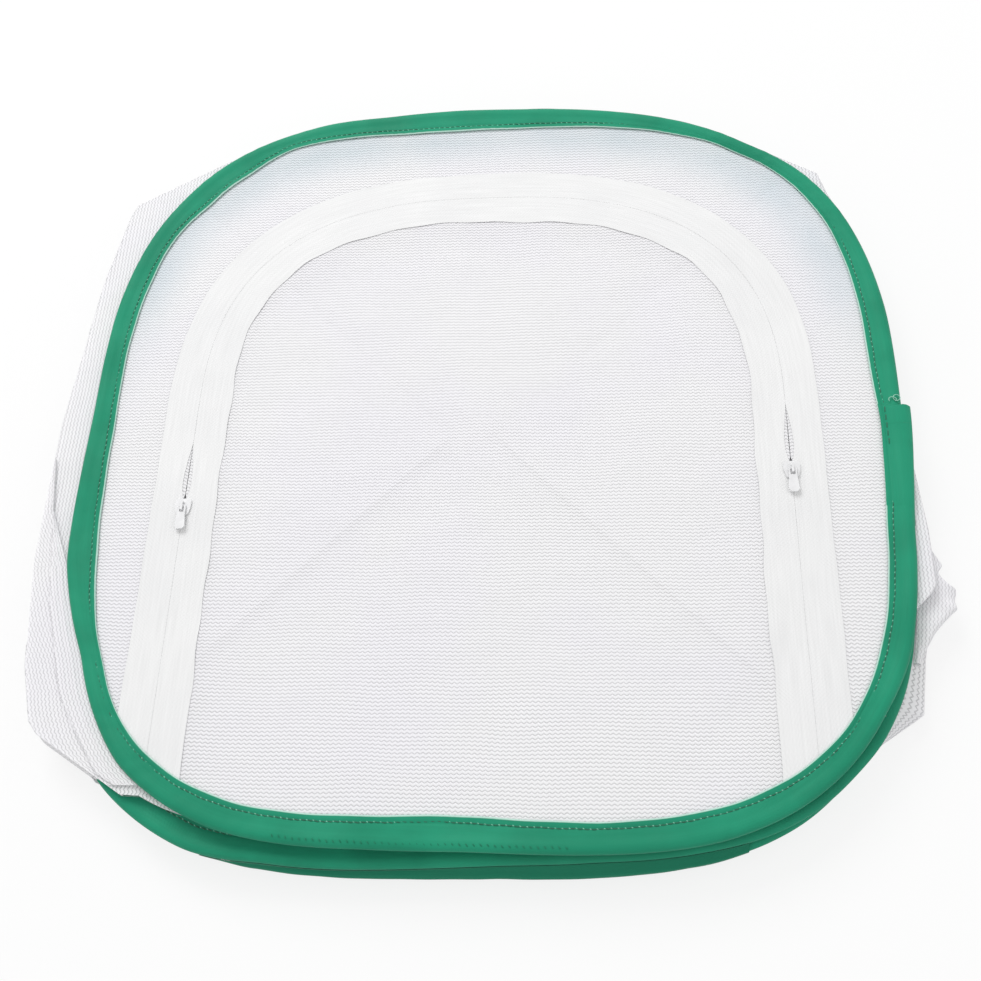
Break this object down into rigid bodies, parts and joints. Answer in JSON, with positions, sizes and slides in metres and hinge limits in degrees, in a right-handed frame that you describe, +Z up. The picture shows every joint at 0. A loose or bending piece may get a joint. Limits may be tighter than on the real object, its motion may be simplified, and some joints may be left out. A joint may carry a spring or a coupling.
{
  "type": "insect cage",
  "caption": "Pop-up insect cage folded flat: rounded wire hoops in green binding, white mesh panels and walls, and a U-shaped zipped door.",
  "frame": {"origin": "middle of the bounding box at the surface the folded cage lies on", "axes": "+Z up through the stack of panels, +X to the right as seen from the hem of the door, +Y towards the arch of the door"},
  "size_m": [0.437, 0.4102, 0.0282],
  "materials": {
    "green_binding": "woven polyester binding tape",
    "white_mesh": "fine knitted mesh",
    "white_zip_tape": "woven zip tape",
    "white_coil": "nylon coil",
    "white_slider": "moulded plastic",
    "spring_steel": "bright drawn wire",
    "sleeve_metal": "crimped sleeve"
  },
  "bodies": {
    "floor": {"floor_binding": "green_binding", "floor_wire": "spring_steel", "floor_ferrule": "sleeve_metal", "floor_mesh": "white_mesh", "floor_ear_left": "white_mesh", "floor_ear_right": "white_mesh", "seam_floor_back": "green_binding"},
    "back": {"back_binding": "green_binding", "back_wire": "spring_steel", "back_ferrule": "sleeve_metal", "back_mesh": "white_mesh", "back_ear_left": "white_mesh", "back_ear_right": "white_mesh", "seam_back_roof": "green_binding", "slack_left_far": "white_mesh", "slack_left_near": "white_mesh", "slack_right_tuft": "white_mesh"},
    "roof": {"roof_binding": "green_binding", "roof_wire": "spring_steel", "roof_ferrule": "sleeve_metal", "roof_mesh": "white_mesh", "roof_ear_left": "white_mesh", "roof_ear_right": "white_mesh", "seam_roof_front": "green_binding"},
    "front": {"front_binding": "green_binding", "front_wire": "spring_steel", "front_ferrule": "sleeve_metal", "front_ear_left": "white_mesh", "front_ear_right": "white_mesh", "front_binding_lap": "green_binding", "front_mesh_surround": "white_mesh", "front_mesh_lower": "white_mesh", "zip_tape_outer": "white_zip_tape", "zip_coil_outer": "white_coil", "zip_tape_lower_left": "white_zip_tape", "zip_tape_lower_right": "white_zip_tape", "zip_coil_lower_left": "white_coil", "zip_coil_lower_right": "white_coil"},
    "door_flap": {"door_flap_mesh": "white_mesh", "zip_tape_flap": "white_zip_tape", "zip_coil_flap": "white_coil"},
    "slider_left": {"slider_left": "white_slider"},
    "slider_right": {"slider_right": "white_slider"},
    "pull_left": {"pull_left": "white_slider"},
    "pull_right": {"pull_right": "white_slider"},
    "floor_wall_left": {"floor_wall_left": "white_mesh"},
    "floor_wall_right": {"floor_wall_right": "white_mesh"},
    "back_wall_left": {"back_wall_left": "white_mesh"},
    "back_wall_right": {"back_wall_right": "white_mesh"},
    "roof_wall_left": {"roof_wall_left": "white_mesh"},
    "roof_wall_right": {"roof_wall_right": "white_mesh"},
    "front_wall_left": {"front_wall_left": "white_mesh"},
    "front_wall_right": {"front_wall_right": "white_mesh"}
  },
  "joints": [
    {"name": "back_fold", "type": "hinge", "parent": "floor", "child": "back", "pos_m": [-0.0005, 0.20015, 0.00655], "axis": [-1, 0, 0], "range_deg": [0, 90], "deforming": ["seam_floor_back", "slack_left_far", "slack_left_near", "slack_right_tuft"]},
    {"name": "roof_fold", "type": "hinge", "parent": "back", "child": "roof", "pos_m": [-0.0005, -0.20505, 0.0134], "axis": [-1, 0, 0], "range_deg": [-270, 0], "deforming": ["seam_back_roof"]},
    {"name": "front_fold", "type": "hinge", "parent": "roof", "child": "front", "pos_m": [0.0015, 0.20415, 0.02025], "axis": [-1, 0, 0], "range_deg": [0, 90], "deforming": ["seam_roof_front"]},
    {"name": "floor_wall_left_fold", "type": "hinge", "parent": "floor", "child": "floor_wall_left", "pos_m": [-0.2175, 0.00015, 0.00535], "axis": [0, -1, 0], "range_deg": [0, 90], "deforming": ["floor_wall_left"]},
    {"name": "floor_wall_right_fold", "type": "hinge", "parent": "floor", "child": "floor_wall_right", "pos_m": [0.2045, 0.00015, 0.00535], "axis": [0, 1, 0], "range_deg": [0, 90], "deforming": ["floor_wall_right"]},
    {"name": "back_wall_left_fold", "type": "hinge", "parent": "back", "child": "back_wall_left", "pos_m": [-0.2175, 0.00015, 0.00775], "axis": [0, 1, 0], "range_deg": [0, 90], "deforming": ["back_wall_left"]},
    {"name": "back_wall_right_fold", "type": "hinge", "parent": "back", "child": "back_wall_right", "pos_m": [0.2045, 0.00015, 0.00775], "axis": [0, -1, 0], "range_deg": [0, 90], "deforming": ["back_wall_right"]},
    {"name": "roof_wall_left_fold", "type": "hinge", "parent": "roof", "child": "roof_wall_left", "pos_m": [-0.2155, 0.00415, 0.01905], "axis": [0, -1, 0], "range_deg": [0, 90], "deforming": ["roof_wall_left"]},
    {"name": "roof_wall_right_fold", "type": "hinge", "parent": "roof", "child": "roof_wall_right", "pos_m": [0.2065, 0.00415, 0.01905], "axis": [0, 1, 0], "range_deg": [0, 90], "deforming": ["roof_wall_right"]},
    {"name": "front_wall_left_fold", "type": "hinge", "parent": "front", "child": "front_wall_left", "pos_m": [-0.2155, 0.00415, 0.0209], "axis": [0, 1, 0], "range_deg": [0, 90], "deforming": ["front_wall_left"]},
    {"name": "front_wall_right_fold", "type": "hinge", "parent": "front", "child": "front_wall_right", "pos_m": [0.2065, 0.00415, 0.0209], "axis": [0, -1, 0], "range_deg": [0, 90], "deforming": ["front_wall_right"]},
    {"name": "door_flap_fold", "type": "hinge", "parent": "front", "child": "door_flap", "pos_m": [0.0015, -0.02265, 0.0247], "axis": [0.9983, 0.0574, 0], "range_deg": [0, 115]},
    {"name": "slider_left_slide", "type": "slide", "parent": "front", "child": "slider_left", "axis": [0, 1, 0], "range_m": [-0.1, 0.044], "deforming": ["zip_coil_outer", "zip_coil_flap", "zip_coil_lower_left"]},
    {"name": "pull_left_hinge", "type": "hinge", "parent": "slider_left", "child": "pull_left", "pos_m": [-0.1445, -0.03585, 0.0267], "axis": [-1, 0, 0], "range_deg": [0, 180]},
    {"name": "slider_right_slide", "type": "slide", "parent": "front", "child": "slider_right", "axis": [0, 1, 0], "range_m": [-0.116, 0.028], "deforming": ["zip_coil_outer", "zip_coil_flap", "zip_coil_lower_right"]},
    {"name": "pull_right_hinge", "type": "hinge", "parent": "slider_right", "child": "pull_right", "pos_m": [0.1475, -0.01905, 0.0267], "axis": [-1, 0, 0], "range_deg": [0, 180]}
  ],
  "couplings": [
    {"joint": "roof_fold", "follows": "back_fold", "ratio": -3},
    {"joint": "front_fold", "follows": "back_fold", "ratio": 1},
    {"joint": "floor_wall_left_fold", "follows": "back_fold", "ratio": 1},
    {"joint": "floor_wall_right_fold", "follows": "back_fold", "ratio": 1},
    {"joint": "back_wall_left_fold", "follows": "back_fold", "ratio": 1},
    {"joint": "back_wall_right_fold", "follows": "back_fold", "ratio": 1},
    {"joint": "roof_wall_left_fold", "follows": "back_fold", "ratio": 1},
    {"joint": "roof_wall_right_fold", "follows": "back_fold", "ratio": 1},
    {"joint": "front_wall_left_fold", "follows": "back_fold", "ratio": 1},
    {"joint": "front_wall_right_fold", "follows": "back_fold", "ratio": 1}
  ]
}
